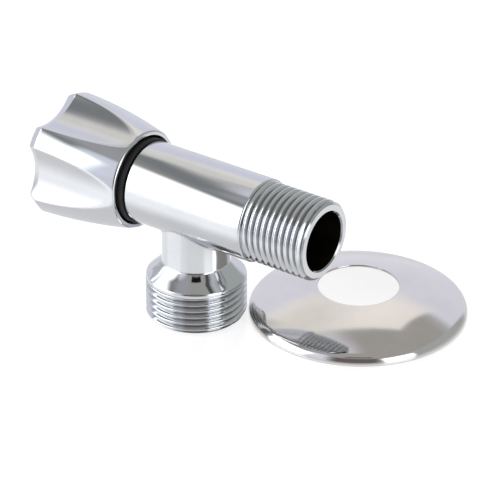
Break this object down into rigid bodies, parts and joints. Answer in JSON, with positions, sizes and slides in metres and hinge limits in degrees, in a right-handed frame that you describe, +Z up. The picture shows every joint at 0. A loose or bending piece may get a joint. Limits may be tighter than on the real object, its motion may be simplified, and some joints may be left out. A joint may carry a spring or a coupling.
{
  "type": "angle stop valve",
  "caption": "Chromed angle stop valve: straight threaded inlet, larger threaded outlet at right angles, fluted handle on a quarter-turn cartridge, loose domed wall flange beside it.",
  "frame": {"origin": "on the surface that the valve and its flange stand on, under the middle of the whole object's bounding box; the outlet's axis is 9.025 mm towards -X and 19.187 mm towards -Y from it", "axes": "+X along the barrel from the handle to the inlet mouth, +Y from the valve to the side where the flange lies, +Z up, from the outlet's end face to the barrel"},
  "size_m": [0.1076, 0.0692, 0.05],
  "materials": {
    "chrome_plate": "bright nickel-chrome plate",
    "polished_stainless": "pressed stainless sheet, mirror polished",
    "brass": "bare, as turned",
    "zinc_steel": "zinc plated",
    "black_rubber": "moulded, satin",
    "silicone": "moulded, satin",
    "alumina_ceramic": "lapped faces",
    "nylon": "natural, moulded",
    "blue_index": "gloss"
  },
  "bodies": {
    "valve": {"valve_body": "chrome_plate", "cartridge_body": "brass", "cartridge_o_ring": "black_rubber", "seat_seal": "silicone", "seat_support_ring": "nylon", "fixed_disc": "alumina_ceramic", "skirt_ring": "black_rubber"},
    "turning_group": {"handle": "chrome_plate", "spline_bush": "nylon", "spring_washer": "zinc_steel", "handle_screw": "zinc_steel", "handle_cap": "chrome_plate", "index_disc": "blue_index", "spindle": "brass", "spindle_o_ring_inner": "black_rubber", "spindle_o_ring_outer": "black_rubber", "slip_washer": "nylon", "spindle_circlip": "zinc_steel", "rotating_disc": "alumina_ceramic"},
    "flange": {"wall_flange": "polished_stainless"}
  },
  "joints": [
    {"name": "handle_turn", "type": "hinge", "parent": "valve", "child": "turning_group", "pos_m": [-0.00903, -0.01919, 0.0334], "axis": [-1, 0, 0], "range_deg": [0, 90]},
    {"name": "flange_slide", "type": "slide", "parent": "valve", "child": "flange", "axis": [1, 0, 0], "range_m": [0, 0.06]}
  ]
}
